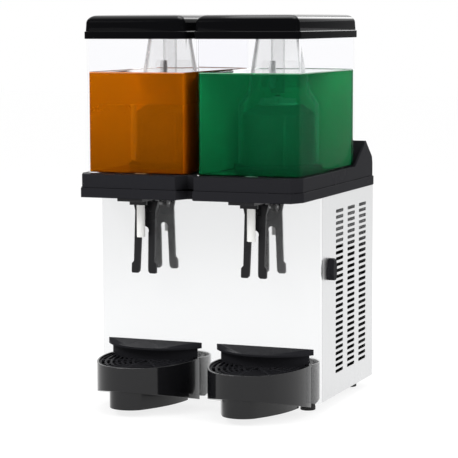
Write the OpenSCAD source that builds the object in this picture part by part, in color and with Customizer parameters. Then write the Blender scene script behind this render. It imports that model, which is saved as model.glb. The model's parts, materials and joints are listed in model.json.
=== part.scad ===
// Cold drink dispenser with two tanks, push-lever taps and lift-off drip trays.
// Working frame: X to the right, Y to the back from the front panel's face, Z up from the table.

/* [Tanks] */
// Outer width of one tank
tank_w = 169.4; // [150:0.2:200]
// Outer depth of one tank
tank_d = 278; // [240:1:320]
// Height of one tank
tank_h = 216; // [180:1:260]
// Wall of a tank
tank_wall = 3; // [2:0.5:5]
// Outer radius of a tank's upright corners
tank_r = 9; // [6:0.5:16]
// Gap between the two tanks
tank_gap = 15.6; // [10:0.2:30]
// Height of the collar round the hole in a tank's floor
collar_h = 8; // [5:0.5:12]
// Lowest gap of a tank above the deck
tank_seat = 0.2; // [0.1:0.1:0.5]

/* [Lids] */
// Overall height of a lid
lid_h = 37.5; // [30:0.5:50]
// Height of the lid's lower rim
lid_rim_h = 11.5; // [9:0.5:16]
// How far the lid laps over the tank
lid_lap = 7.5; // [5:0.5:8.5]
// Overhang of the lid in front of and behind the tank
lid_over = 7; // [5:0.5:9]
// Wall of the lid beside the tank
lid_side = 1.5; // [1.2:0.1:2.5]
// Step from the rim in to the crown
lid_step = 2; // [1:0.5:3]
// Radius along the crown's upper edges
lid_edge_r = 14; // [8:1:18]
// Outer radius of the lid's upright corners
lid_r = 12; // [9:0.5:18]
// Wall of the crown
lid_wall = 3; // [2:0.5:4]
// Clearance between lid and tank
lid_clear = 0.3; // [0.2:0.1:0.6]

/* [Cabinet] */
// Height of the cabinet's lower edge above the table
body_z = 16; // [12:0.5:30]
// Height of the cabinet's panels
body_h = 321.5; // [300:0.5:360]
// Thickness of the sheet steel
sheet = 1.2; // [1:0.1:2]
// Depth of the front panel's returns round the corners and under the pan
front_wrap = 12; // [10:1:30]
// Width of the folded flanges
flange = 13; // [10:1:18]
// Seam between neighbouring panels
seam = 0.6; // [0.4:0.1:1]

/* [Vents] */
// Rows of slots in a side panel
slot_rows = 28; // [20:1:28]
// Columns of slots in a side panel
slot_cols = 3; // [2:1:3]
// Length of a slot
slot_len = 38; // [30:1:44]
// Height of a slot
slot_h = 5.4; // [3:0.2:6]
// Pitch of the rows
slot_pitch = 9.5; // [8:0.1:10]
// Pitch of the columns
col_pitch = 59.5; // [50:0.5:62]
// Middle of the first column behind the front face
slot_first = 97; // [92:1:104]
// Lowest row above the table
slot_low = 54; // [50:1:60]

/* [Deck] */
// Overhang of the deck in front of the front panel
deck_front = 101; // [92:1:130]
// Overhang of the deck behind the cabinet
deck_back = 6; // [4:1:12]
// Margin from the tanks' outer sides to the deck's sides
deck_margin = 7.8; // [6:0.2:14]
// Set-back of the tanks from the deck's front edge
tank_inset = 27; // [18:1:40]
// Space behind the tanks for the rear upstand
rear_margin = 68; // [58:1:90]
// Height of the deck's lower frame
deck_base_h = 15; // [12:0.5:20]
// Height of the deck's upper tray
deck_tray_h = 21.5; // [16:0.5:30]
// Wall of the deck mouldings
deck_wall = 3; // [2:0.5:4]
// How far the lower frame stands proud of the upper tray
deck_step = 1.5; // [1:0.5:2.5]
// Corner chamfer of each front, across
nose_x = 11; // [6:1:14]
// Corner chamfer of each front, front to back
nose_y = 25; // [15:1:30]
// Half the width of the notch's floor between the two fronts
notch_half = 3; // [2:0.5:6]
// Height of the rear upstand above the deck
stand_h = 39; // [30:1:50]
// Height of the rear upstand's rear edge
stand_kink_h = 11; // [6:1:20]
// Depth of the sloping side cheeks in front of the upstand's crest
stand_ramp = 58; // [45:1:62]
// Distance of the crest from the deck's rear edge
stand_crest = 37; // [30:1:42]
// Thickness of the side cheeks
cheek = 4; // [3:0.5:5]

/* [Cooling] */
// Diameter of the evaporator column
evap_d = 112; // [90:1:116]
// Height of the evaporator column above the deck
evap_h = 104; // [80:1:110]
// Wall of the evaporator column
evap_wall = 2; // [1.5:0.5:3]
// Diameter of the pin that carries the impeller
impeller_pin_d = 8; // [6:0.5:10]
// Height of that pin
impeller_pin_h = 16; // [14:1:18]
// Diameter of the impeller
impeller_d = 62; // [40:1:70]
// Blades on the impeller
impeller_blades = 6; // [4:1:8]
// Height of the impeller
impeller_h = 13; // [10:1:13]
// Wall of the clear hood over the column
hood_wall = 2; // [1.5:0.5:3]
// Gap between column and hood
hood_gap = 5; // [4:0.5:7]
// Diameter of the hood's neck
hood_neck_d = 96; // [88:1:104]
// Diameter of the hood's open top
hood_top_d = 68; // [60:1:80]
// Height of the hood's shoulder
hood_shoulder_h = 22; // [18:1:26]
// Height of the hood's tapering neck
hood_cone_h = 85; // [55:1:88]
// Outer diameter of the riser in the hood
riser_d = 22; // [18:1:26]
// Ribs that centre the hood on the column
hood_ribs = 6; // [4:1:8]
// Radial clearance of a hole in a tank's floor round the hood
hole_clear = 4; // [3:0.5:6]
// Diameter of a stirrer motor
motor_d = 64; // [50:1:80]
// Height of a stirrer motor
motor_h = 45; // [35:1:60]
// Diameter of a drive shaft
drive_d = 8; // [6:0.5:10]
// Diameter of the drive magnet
magnet_d = 56; // [40:1:70]

/* [Taps] */
// Distance of the spout's axis in front of the front panel
spout_out = 55; // [52:0.5:60]
// Outer diameter of the spout
spout_d = 13; // [11:0.5:15]
// Bore of the spout
spout_bore = 9; // [7:0.5:10]
// How far the spout hangs below the deck
spout_drop = 64; // [50:1:75]
// Width of the plate under the deck
plate_w = 42; // [40:1:52]
// Thickness of that plate
plate_t = 4.8; // [4:0.2:6]
// Distance of the lever's pin in front of the front panel
pin_out = 24; // [22:0.5:27]
// Drop of the lever's pin below the plate
pin_drop = 12; // [10:0.5:14]
// Diameter of the lever's pin
pin_d = 5; // [4:0.5:6]
// Length of the lever below its pin
lever_len = 107; // [90:1:125]
// Thickness of the lever's fork
lever_t = 5; // [4:0.5:6]
// Half the width of the fork above its slot
fork_half = 17.5; // [16:0.5:20]
// Width of the fork's slot
fork_slot = 13.4; // [10:0.2:16]
// Depth of the slot's crown below the pin
fork_crown = 33; // [30:1:40]
// Lean of the fork out to the front
fork_lean = 4.5; // [2:0.5:6]
// Wire of the return spring
spring_wire = 1.2; // [0.8:0.1:1.4]
// Gap between the turns of the return spring
spring_gap = 0.6; // [0.5:0.1:0.8]
// Turns of the return spring
spring_turns = 4; // [3:1:5]

/* [Drip trays] */
// Half the width of a drip tray where it is widest
tray_half = 78; // [72:0.5:80]
// Distance of a drip tray's widest place in front of the panel
tray_belly = 16; // [8:1:24]
// Reach of a drip tray in front of the panel
tray_out = 131; // [118:1:140]
// Radius of a drip tray's nose
tray_nose = 64; // [50:1:66]
// Shift of a drip tray out from its tank's middle
tray_shift = 1.5; // [0:0.5:3]
// Height of a drip tray's rim above the table
tray_rim = 77.5; // [70:0.5:90]
// Wall of a drip tray
tray_wall = 3; // [2:0.5:4]
// Height of the tray's sloping floor at the panel
floor_back = 10; // [8:0.5:20]
// Height of the tray's sloping floor at the nose
floor_front = 40; // [30:0.5:44]
// Half the width of the sump under the tray
sump_half = 57; // [48:0.5:62]
// Radius of the sump's nose
sump_nose = 32; // [28:1:44]
// Set-back of the sump's nose from the tray's nose
sump_set = 1.5; // [1:0.5:6]
// Height of the sump's floor at the panel
sump_back = 7.5; // [2:0.5:8]
// Height of the sump's floor at the nose
sump_front = 11; // [8:0.5:20]
// Depth of the grille below the rim
grille_sunk = 2; // [1:0.5:4]
// Thickness of the grille
grille_t = 4; // [3:0.5:5]
// Width of the grille's rings
ring_w = 3.6; // [3:0.2:5]
// Pitch of the grille's rings
ring_pitch = 8.6; // [7.5:0.2:11]
// Rings in the grille
ring_count = 7; // [4:1:8]
// Half the width of the raised rest
rest_half = 81; // [76:0.5:84]
// Reach of the rest's lip in front of the panel
rest_out = 45; // [40:1:52]
// Reach of the rest's level crest
rest_crest = 3; // [2:0.5:6]
// Reach of the rest's upright wall
rest_foot = 31; // [24:1:36]
// Height of the rest's crest above the tray's rim
rest_h = 24; // [18:0.5:30]
// Fall of the rest's top from crest to lip
rest_fall = 6; // [4:0.5:9]
// Thickness of the rest's top and lip
rest_t = 3; // [2.5:0.5:4]
// Gap between a drip tray and the front panel
tray_gap = 0.3; // [0.2:0.1:0.6]

/* [Knob and feet] */
// Height of the knob's axis above the table
knob_z = 219; // [200:1:240]
// Distance of the knob's axis behind the front face
knob_y = 45; // [42:0.5:48]
// Diameter of the knob's round base
knob_d = 26; // [22:0.5:30]
// Thickness of the knob's base
knob_base_t = 4; // [3:0.5:7]
// Reach of the pointer outside the base
knob_reach = 6; // [4:0.5:12]
// Length of the pointer above the axis
pointer_up = 21; // [16:0.5:24]
// Length of the pointer below the axis
pointer_down = 13; // [11:0.5:15]
// Width of the pointer's tip
pointer_t = 9; // [7:0.5:12]
// Diameter of the knob's spindle
spindle_d = 6; // [5:0.5:8]
// Diameter of a foot
foot_d = 24; // [20:1:30]
// Distance of the feet from the middle
foot_x = 155; // [140:1:156]
// Distance of the front feet behind the front face
foot_front = 31; // [29:0.5:45]
// Distance of the rear feet in front of the rear face
foot_rear = 30; // [28:0.5:45]

/* [Cooling unit] */
// Diameter of the compressor's can
comp_d = 124; // [100:1:130]
// Height of the compressor's can
comp_h = 150; // [120:1:180]
// Distance of the compressor to the left of the middle
comp_x = 75; // [60:1:90]
// Diameter of the condenser fan
fan_d = 130; // [100:1:136]
// Blades on the condenser fan
fan_blades = 5; // [4:1:7]
// Fins in the condenser
fin_count = 16; // [8:1:20]
// Width of the condenser along the side panel
cond_w = 160; // [150:1:165]
// Height of the condenser
cond_h = 220; // [180:1:240]
// Depth of the condenser
cond_t = 36; // [26:1:40]
// Gap between condenser and side panel
cond_gap = 20; // [17:1:26]

/* [Hidden] */
$fn = 48;
// Radial clearance of a pin or shaft in its bore
run = 0.05;
// Gap between pieces that pass or seat without touching
free = 0.3;
// Overcut that keeps cutting faces apart
eps = 0.1;
// A length past every edge of the machine
far = 900;

cell_x = (tank_gap + tank_w) / 2;
body_w = 2 * cell_x + tank_w + 2 * deck_margin;
tank_y0 = tank_inset - deck_front;
tank_y = tank_y0 + tank_d / 2;
body_d = tank_y0 + tank_d + rear_margin;
body_top = body_z + body_h;
pan_z = body_z + sheet;
pan_top = pan_z + sheet;
side_x = body_w / 2;
tray_z = body_top + deck_base_h;
deck_top = tray_z + deck_tray_h;
deck_rear = body_d + deck_back;
tank_z = deck_top + tank_seat;
lid_z = tank_z + tank_h + lid_clear - lid_lap;
lid_w = tank_w + 2 * (lid_clear + lid_side);
lid_d = tank_d + 2 * lid_over;
hood_d = evap_d + 2 * (hood_gap + hood_wall);
hole_d = hood_d + 2 * hole_clear;
evap_top = deck_top + evap_h;
evap_crown = 14;
evap_flat_d = evap_d - 40;
evap_foot_t = 3;
impeller_z = evap_top + free;
hood_z = deck_top + collar_h + tank_wall + 2;
shoulder_z = evap_top + 1;
neck_z = shoulder_z + hood_shoulder_h;
cone_top = neck_z + hood_cone_h;
riser_z = impeller_z + impeller_pin_h + 2;
plate_z = body_top - plate_t;
pin_z = plate_z - pin_drop;
plate_front = deck_front - 3;
plate_back = pin_out - 10;
ear_t = 4;
hub_half = 10;
hub_d = pin_d + 7;
ear_w = hub_d + 3;
bracket_t = 2;
spring_half = (spring_turns * (spring_wire + spring_gap) + spring_wire) / 2;
spring_r = pin_d / 2 + 0.5 + spring_wire / 2;
grille_top = tray_rim - grille_sunk;
grille_z = grille_top - grille_t;
ledge_h = 3;
ledge_w = 2.5;
knob_shoulder = 0.3;
knob_out = knob_shoulder + knob_base_t + knob_reach;
spindle_in = 26;
hole_play = 0.5;
frame_x = knob_out / 2;
frame_y = (deck_rear - tray_out) / 2;

// Moves the working frame to the middle of the machine's footprint
module place() {
    translate([-frame_x, -frame_y, 0]) children();
}

// Rectangle with round corners, centred
module round_rect(w, d, r) {
    square([w - 2 * r, d], center = true);
    square([w, d - 2 * r], center = true);
    for (sx = [-1, 1], sy = [-1, 1]) {
        translate([sx * (w / 2 - r), sy * (d / 2 - r)]) circle(r);
    }
}

// Slot with round ends along X, centred
module slot(len, h) {
    square([len - h, h], center = true);
    for (s = [-1, 1]) translate([s * (len - h) / 2, 0]) circle(h / 2);
}

// Oval cut off at the line Y = 0, reaching to -b and widest at -belly.
// Its side arcs blend into a nose of radius r.
module half_oval(a, b, r, belly = 0) {
    nose_y = b - belly - r;
    arc_r = (a * a + nose_y * nose_y - r * r) / (2 * (a - r));
    join_y = belly + arc_r * nose_y / (arc_r - r);
    intersection() {
        translate([a - arc_r, -belly]) circle(arc_r);
        translate([arc_r - a, -belly]) circle(arc_r);
        translate([-far / 2, -join_y]) square([far, join_y]);
    }
    intersection() {
        translate([0, r - b]) circle(r);
        translate([-far / 2, -far]) square([far, far]);
    }
}

// Segment of a circle against the line Y = 0, reaching to -depth
module bow(half, depth) {
    r = (half * half + depth * depth) / (2 * depth);
    intersection() {
        translate([0, r - depth]) circle(r);
        translate([-far / 2, -far]) square([far, far]);
    }
}

// Everything above a floor that rises from z0 at Y = 0 to z1 at Y = -reach
module above_floor(z0, z1, reach) {
    translate([0, 0, z0]) rotate([-atan((z1 - z0) / reach), 0, 0])
        translate([-far / 2, -far / 2, 0]) cube([far, far, far]);
}

// Outline of the deck, drawn in by inset
module deck_outline(inset) {
    w = side_x - inset;
    front = inset - deck_front;
    half = [
        [w, deck_rear - inset], [w, front + nose_y], [w - nose_x, front],
        [notch_half + inset + nose_x, front], [notch_half + inset, front + nose_y]
    ];
    polygon(concat(half, [for (i = [len(half) - 1 : -1 : 0]) [-half[i][0], half[i][1]]]));
}

module cell(side) {
    translate([side * cell_x, 0, 0]) children();
}

// Cabinet

module base_pan() {
    color("silver") difference() {
        translate([-side_x + sheet + eps, sheet + eps, pan_z])
            cube([body_w - 2 * (sheet + eps), body_d - 2 * (sheet + eps), sheet]);
        translate([0, body_d / 2, pan_z]) for (k = [-3 : 3])
            translate([-90, k * 14, -eps]) linear_extrude(sheet + 2 * eps) slot(60, 5);
    }
}

module front_panel() {
    color("gainsboro") {
        translate([0, 0, body_z]) linear_extrude(body_h) {
            translate([-side_x, 0]) square([body_w, sheet]);
            for (s = [-1, 1]) translate([s * (side_x - sheet / 2), front_wrap / 2])
                square([sheet, front_wrap], center = true);
        }
        translate([-side_x, 0, body_z]) cube([body_w, front_wrap, sheet]);
    }
}

module vent_slots(cols, rows) {
    for (c = [0 : cols - 1], k = [0 : rows - 1])
        translate([slot_first + c * col_pitch, slot_low + k * slot_pitch]) slot(slot_len, slot_h);
}

// Side panel for the right; the left one is its mirror image without the spindle hole
module side_sheet() {
    y0 = front_wrap + seam;
    translate([side_x - sheet, 0, 0]) rotate([90, 0, 90]) linear_extrude(sheet) difference() {
        translate([y0, body_z]) square([body_d - y0, body_h]);
        vent_slots(slot_cols, slot_rows);
    }
    translate([side_x - flange, y0, body_z]) cube([flange, body_d - y0, sheet]);
    for (y = [y0, body_d - sheet])
        translate([side_x - flange, y, pan_top + eps]) cube([flange, sheet, body_top - pan_top - eps]);
}

module side_panel_left() {
    color("gainsboro") mirror([1, 0, 0]) side_sheet();
}

module side_panel_right() {
    color("gainsboro") difference() {
        side_sheet();
        translate([side_x - 2 * sheet, knob_y, knob_z]) rotate([0, 90, 0])
            cylinder(d = spindle_d + 2 * hole_play, h = 4 * sheet);
    }
}

gland_d = 14;
gland_x = -side_x + 50;
gland_z = body_z + 34;

module back_panel() {
    rear_cols = 3;
    color("gainsboro") difference() {
        translate([-side_x, body_d, body_z]) cube([body_w, sheet, body_h]);
        translate([0, body_d + sheet + eps, 0]) rotate([90, 0, 0]) linear_extrude(sheet + 2 * eps)
            for (c = [0 : rear_cols - 1], k = [0 : slot_rows - 1])
                translate([(c - (rear_cols - 1) / 2) * col_pitch, slot_low + k * slot_pitch])
                    slot(slot_len, slot_h);
        translate([gland_x, body_d - eps, gland_z]) rotate([-90, 0, 0])
            cylinder(d = gland_d, h = sheet + 2 * eps);
    }
}

module cord_gland() {
    flange_t = 2.5;
    nose = deck_back - sheet - flange_t - free;
    color("black") translate([gland_x, body_d + sheet, gland_z]) rotate([-90, 0, 0]) difference() {
        union() {
            cylinder(d = gland_d + 8, h = flange_t);
            translate([0, 0, flange_t]) cylinder(d1 = gland_d + 2, d2 = gland_d - 2, h = nose);
            translate([0, 0, -sheet - 6]) cylinder(d = gland_d - 2 * run, h = sheet + 6);
        }
        translate([0, 0, -far / 2]) cylinder(d = gland_d - 6, h = far);
    }
}

module feet() {
    pad_h = 5;
    color("black") for (x = [-foot_x, foot_x], y = [foot_front, body_d - foot_rear])
        translate([x, y, 0]) {
            cylinder(d = foot_d, h = pad_h);
            translate([0, 0, pad_h]) cylinder(d1 = foot_d, d2 = foot_d - 5, h = pan_z - pad_h);
        }
}

// Deck

module deck_base() {
    color("black") difference() {
        translate([0, 0, body_top]) linear_extrude(deck_base_h) deck_outline(0);
        translate([0, 0, body_top + deck_wall]) linear_extrude(deck_base_h)
            deck_outline(deck_step + deck_wall);
        for (s = [-1, 1]) cell(s) {
            translate([0, tank_y, body_top - eps]) cylinder(d = drive_d + 12, h = deck_base_h);
            translate([0, -spout_out, body_top - eps])
                cylinder(d = spout_d + 2 * hole_play, h = deck_base_h);
        }
    }
}

spout_flange_d = spout_d + 8;
spout_flange_t = 4;

module deck_tray() {
    plate_low = deck_tray_h - deck_wall;
    crest = deck_rear - deck_step - stand_crest;
    rear = deck_rear - deck_step;
    hump_front = tank_y0 + tank_d + lid_over + 3;
    hump = [[hump_front, 0], [crest - 8, stand_h], [crest, stand_h], [rear - 3, stand_kink_h], [rear, 0]];
    side = [[crest - stand_ramp, 0], [crest, stand_h], [rear - 3, stand_kink_h], [rear, 0]];
    w = side_x - deck_step;
    color("black") difference() {
        union() {
            translate([0, 0, tray_z]) linear_extrude(deck_tray_h) deck_outline(deck_step);
            translate([-w, 0, deck_top]) rotate([90, 0, 90]) linear_extrude(2 * w) polygon(hump);
            for (x = [-w, w - cheek]) translate([x, 0, deck_top]) rotate([90, 0, 90])
                linear_extrude(cheek) polygon(side);
        }
        translate([0, 0, tray_z - eps]) linear_extrude(plate_low + eps) deck_outline(deck_step + deck_wall);
        translate([-w + cheek, 0, deck_top]) rotate([90, 0, 90]) linear_extrude(2 * (w - cheek))
            polygon([
                [hump_front + deck_wall, -deck_wall - eps], [crest - 8 + 2, stand_h - deck_wall],
                [crest - 1, stand_h - deck_wall], [rear - 3 - deck_wall, stand_kink_h - 1],
                [rear - deck_wall, -deck_wall - eps]
            ]);
        for (s = [-1, 1]) cell(s) {
            translate([0, tank_y, tray_z]) cylinder(d = evap_d + 2 * hole_play, h = far);
            translate([0, -spout_out, tray_z])
                cylinder(d = spout_flange_d + 2 * hole_play, h = deck_tray_h + eps);
        }
    }
}

// Tanks and lids

module tank(side) {
    color("lightcyan", 0.35) cell(side) translate([0, tank_y, tank_z + tank_wall])
        linear_extrude(tank_h - tank_wall) difference() {
            round_rect(tank_w, tank_d, tank_r);
            round_rect(tank_w - 2 * tank_wall, tank_d - 2 * tank_wall, tank_r - tank_wall);
        }
}

module tank_floor(side) {
    color("lightcyan", 0.35) cell(side) translate([0, tank_y, tank_z]) linear_extrude(tank_wall)
        difference() {
            round_rect(tank_w, tank_d, tank_r);
            circle(d = hole_d);
            translate([0, -spout_out - tank_y]) circle(d = spout_bore);
        }
}

module tank_collar(side) {
    color("lightcyan", 0.35) cell(side) translate([0, tank_y, tank_z + tank_wall]) linear_extrude(collar_h)
        difference() {
            circle(d = hole_d + 2 * tank_wall);
            circle(d = hole_d);
        }
}

module lid_crown(w, d, r, edge, low, high) {
    hull() {
        translate([0, 0, low]) linear_extrude(eps) round_rect(w, d, r, $fn = 32);
        for (sx = [-1, 1], sy = [-1, 1])
            translate([sx * (w / 2 - edge), sy * (d / 2 - edge), high - edge]) sphere(edge, $fn = 32);
    }
}

module lid(side) {
    pocket = lid_lap;
    inner_w = tank_w - 2 * tank_wall;
    inner_d = tank_d - 2 * tank_wall;
    color("black") cell(side) translate([0, tank_y, lid_z]) difference() {
        union() {
            linear_extrude(lid_rim_h) round_rect(lid_w, lid_d, lid_r);
            lid_crown(
                lid_w - 2 * lid_step, lid_d - 2 * lid_step, lid_r - 1, lid_edge_r, lid_rim_h - eps, lid_h);
        }
        translate([0, 0, -eps]) linear_extrude(pocket + eps)
            round_rect(tank_w + 2 * lid_clear, tank_d + 2 * lid_clear, tank_r + lid_clear);
        lid_crown(
            inner_w, inner_d, tank_r - tank_wall + 1, lid_edge_r - lid_wall, pocket - eps, lid_h - lid_wall);
    }
}

module spout(side) {
    color("white") cell(side) translate([0, -spout_out, 0]) difference() {
        union() {
            translate([0, 0, body_top - spout_drop])
                cylinder(d = spout_d, h = tank_z - body_top + spout_drop);
            translate([0, 0, tank_z - spout_flange_t]) cylinder(d = spout_flange_d, h = spout_flange_t);
        }
        translate([0, 0, body_top - spout_drop - eps]) cylinder(d = spout_bore, h = far);
    }
}

// Cooling column and mixer in each tank

module evaporator(side) {
    r = evap_d / 2;
    top_r = evap_flat_d / 2;
    foot_z = body_top + deck_wall;
    neck = evap_top - evap_crown;
    color("silver") cell(side) translate([0, tank_y, 0]) {
        rotate_extrude() polygon([
            [r - evap_wall, foot_z], [r + 6, foot_z], [r + 6, foot_z + evap_foot_t],
            [r, foot_z + evap_foot_t],
            [r, neck], [top_r, evap_top], [0, evap_top], [0, evap_top - evap_wall],
            [top_r - evap_wall / 2, evap_top - evap_wall], [r - evap_wall, neck - evap_wall / 2]
        ]);
        translate([0, 0, evap_top - eps]) cylinder(d = impeller_pin_d, h = impeller_pin_h + eps);
    }
}

module tank_seal(side) {
    r0 = evap_d / 2 + run;
    r1 = hole_d / 2 - free;
    h = tank_wall + collar_h - 1;
    color("dimgray") cell(side) translate([0, tank_y, deck_top]) rotate_extrude()
        polygon([[r0, 0], [r1, 0], [r1, h - 3], [r1 - 3, h], [r0 + 1, h], [r0, h - 1]]);
}

module mixer_hood(side) {
    r = hood_d / 2;
    neck_r = hood_neck_d / 2;
    top_r = hood_top_d / 2;
    w = hood_wall;
    color("azure", 0.4) cell(side) translate([0, tank_y, 0]) {
        rotate_extrude() polygon([
            [r - w, hood_z], [r, hood_z], [r, shoulder_z], [neck_r, neck_z], [top_r, cone_top],
            [top_r - w, cone_top], [neck_r - w, neck_z], [r - w, shoulder_z]
        ]);
        for (k = [0 : hood_ribs - 1]) rotate([0, 0, k * 360 / hood_ribs])
            translate([evap_d / 2 + free, -w / 2, hood_z])
                cube([hood_gap - free + w / 2, w, shoulder_z - hood_z - 20]);
        difference() {
            union() {
                translate([0, 0, riser_z]) cylinder(d = riser_d, h = cone_top - riser_z);
                for (k = [0 : 2]) rotate([0, 0, 30 + k * 120]) translate([0, -w / 2, neck_z + 4])
                    cube([(neck_r + top_r) / 2 - 2, w, hood_cone_h / 2]);
            }
            translate([0, 0, riser_z - eps]) cylinder(d = riser_d - 2 * w, h = far);
        }
    }
}

module impeller(side) {
    hub_r = impeller_pin_d / 2 + 4;
    disc_t = 2.5;
    color("white") cell(side) translate([0, tank_y, impeller_z]) difference() {
        union() {
            cylinder(r = hub_r, h = impeller_h);
            cylinder(d = impeller_d, h = disc_t);
            for (k = [0 : impeller_blades - 1]) rotate([0, 0, k * 360 / impeller_blades])
                translate([hub_r - 1, -1, 0]) cube([impeller_d / 2 - hub_r - 1, 2, impeller_h - 3]);
        }
        translate([0, 0, -eps]) cylinder(d = impeller_pin_d + 2 * run, h = impeller_h + 2 * eps);
    }
}

drive_low = body_top - motor_h + 10;

module stirrer_motor(side) {
    flange_w = motor_d + 12;
    color("dimgray") cell(side) translate([0, tank_y, body_top]) difference() {
        union() {
            translate([0, 0, -3]) linear_extrude(3) round_rect(flange_w, flange_w, 8);
            translate([0, 0, -motor_h]) cylinder(d = motor_d, h = motor_h - eps);
            translate([0, 0, -motor_h - 6]) cylinder(d = motor_d / 3, h = 10);
        }
        translate([0, 0, drive_low - body_top - free]) cylinder(d = drive_d + 2 * run, h = motor_h);
    }
}

module drive_rotor(side) {
    magnet_t = 8;
    magnet_z = evap_top - evap_wall - 6 - magnet_t;
    color("gray") cell(side) translate([0, tank_y, 0]) {
        translate([0, 0, drive_low]) cylinder(d = drive_d, h = magnet_z - drive_low + eps);
        translate([0, 0, magnet_z]) cylinder(d = magnet_d, h = magnet_t);
        translate([0, 0, magnet_z - 10]) cylinder(d = drive_d + 10, h = 10 + eps);
    }
}

// Taps

module tap_plate(side) {
    color("darkgray") cell(side) difference() {
        translate([-plate_w / 2, -plate_front, plate_z]) cube([plate_w, plate_front - plate_back, plate_t]);
        translate([0, -spout_out, plate_z - eps])
            cylinder(d = spout_d + 2 * hole_play, h = plate_t + 2 * eps);
    }
}

module tap_bracket(side) {
    ear_x = hub_half + free;
    bar_t = 4;
    bar_y = spout_out + spout_d / 2 + 0.5;
    bar_h = 8;
    color("black") cell(side) difference() {
        union() {
            for (s = [-1, 1]) {
                translate([s * (ear_x + ear_t / 2) - ear_t / 2, 0, 0]) {
                    translate([0, -pin_out - ear_w / 2, pin_z]) cube([ear_t, ear_w, plate_z - pin_z]);
                    translate([0, -pin_out, pin_z]) rotate([0, 90, 0]) cylinder(d = ear_w, h = ear_t);
                }
            }
            translate([-ear_x - ear_t, -bar_y - bar_t, plate_z - bar_h])
                cube([2 * (ear_x + ear_t), bar_t, bar_h]);
            translate([-ear_x - ear_t, -bar_y - bar_t, plate_z - bracket_t])
                cube([2 * (ear_x + ear_t), bar_y + bar_t - pin_out + ear_w / 2, bracket_t]);
        }
        translate([0, -spout_out, 0]) cylinder(d = spout_d + 2 * hole_play, h = far);
        translate([-far / 2, -pin_out, pin_z]) rotate([0, 90, 0]) cylinder(d = pin_d + 2 * run, h = far);
    }
}

module lever_pin(side) {
    half = hub_half + free + ear_t + 1;
    color("silver") cell(side) translate([-half, -pin_out, pin_z]) rotate([0, 90, 0])
        cylinder(d = pin_d, h = 2 * half);
}

// One ring of the spring's wire, square to the helix closely enough for so small a pitch
function spring_ring(t, sides) = let (
        a = t * 360,
        x = (spring_half - spring_wire / 2) * (2 * t / spring_turns - 1)
    ) [for (k = [0 : sides - 1]) let (
        c = cos(k * 360 / sides) * spring_wire / 2,
        s = sin(k * 360 / sides) * spring_wire / 2
    ) [x + s, (spring_r + c) * cos(a), (spring_r + c) * sin(a)]];

// Least distance between the wire's middle line on one turn and on the next, less the wire
spring_steps = 14;
function spring_mid(i) = let (t = i / spring_steps) [
        (spring_half - spring_wire / 2) * (2 * t / spring_turns - 1),
        spring_r * cos(t * 360), spring_r * sin(t * 360)
    ];
spring_least = min([for (i = [0 : spring_steps], j = [-3 : 3])
        norm(spring_mid(i) - spring_mid(i + spring_steps + j))]) - spring_wire;
echo(spring_least_gap = spring_least);

module lever_spring(side) {
    sides = 6;
    steps = spring_steps * spring_turns;
    rings = [for (i = [0 : steps]) spring_ring(i * spring_turns / steps, sides)];
    points = [for (ring = rings) each ring];
    wall = [for (i = [0 : steps - 1], k = [0 : sides - 1]) let (
            a = i * sides + k,
            b = i * sides + (k + 1) % sides
        ) each [[a, b + sides, b], [a, a + sides, b + sides]]];
    first = [for (k = [1 : sides - 2]) [0, k, k + 1]];
    last = [for (k = [1 : sides - 2]) [steps * sides, steps * sides + k + 1, steps * sides + k]];
    color("silver") cell(side) translate([0, -pin_out, pin_z])
        polyhedron(points, [for (f = concat(first, wall, last)) [f[0], f[2], f[1]]]);
}

// Outline of the fork, with the pin's height at zero
module fork_outline() {
    flare = 4;
    toe = 3.5;
    toe_h = 15;
    top = pin_drop - bracket_t - 2.5;
    low = -lever_len;
    slot_half = fork_slot / 2;
    crown = -fork_crown - slot_half;
    difference() {
        for (s = [0, 1]) mirror([s, 0]) polygon([
            [0, top], [fork_half + flare, top], [fork_half, -9], [fork_half, low + toe_h + 4],
            [fork_half + toe, low + toe_h], [fork_half + toe, low + 1.5], [fork_half + toe - 1.5, low],
            [slot_half + 4, low], [slot_half + 1, low + 3], [slot_half + 0.5, low + 8],
            [slot_half - 0.6, crown], [0, crown]
        ]);
        translate([0, crown]) circle(slot_half);
    }
}

module lever(side) {
    plate_y = -ear_w / 2 - 1 - lever_t;
    cam = spout_out - spout_d / 2 - pin_out - free;
    cam_half = spout_d / 2 + 1;
    hub_len = hub_half - spring_half - free;
    color("black") cell(side) translate([0, -pin_out, pin_z]) difference() {
        union() {
            rotate([-fork_lean, 0, 0]) translate([0, plate_y + lever_t, 0]) rotate([90, 0, 0])
                linear_extrude(lever_t) fork_outline();
            for (x = [-hub_half, hub_half - hub_len]) translate([x, 0, 0]) rotate([0, 90, 0])
                cylinder(d = hub_d, h = hub_len);
            translate([-hub_half, plate_y + 1, -5]) cube([2 * hub_half, -plate_y - 1, 9]);
            translate([-cam_half, -cam, -7]) cube([2 * cam_half, cam + plate_y + 2, 7]);
            rotate([-fork_lean, 0, 0]) translate([-fork_half + 1, plate_y - 1.5, -27])
                cube([2 * fork_half - 2, 3, 16]);
        }
        translate([-far / 2, 0, 0]) rotate([0, 90, 0]) cylinder(d = pin_d + 2 * run, h = far);
        translate([-spring_half - free, 0, 0]) rotate([0, 90, 0])
            cylinder(r = spring_r + spring_wire / 2 + free, h = 2 * (spring_half + free));
    }
}

// Drip trays, drawn with the panel's face at Y = 0

module tray_at(side) {
    cell(side) translate([side * tray_shift, -tray_gap, 0]) children();
}

reach = tray_out - tray_gap;

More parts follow.
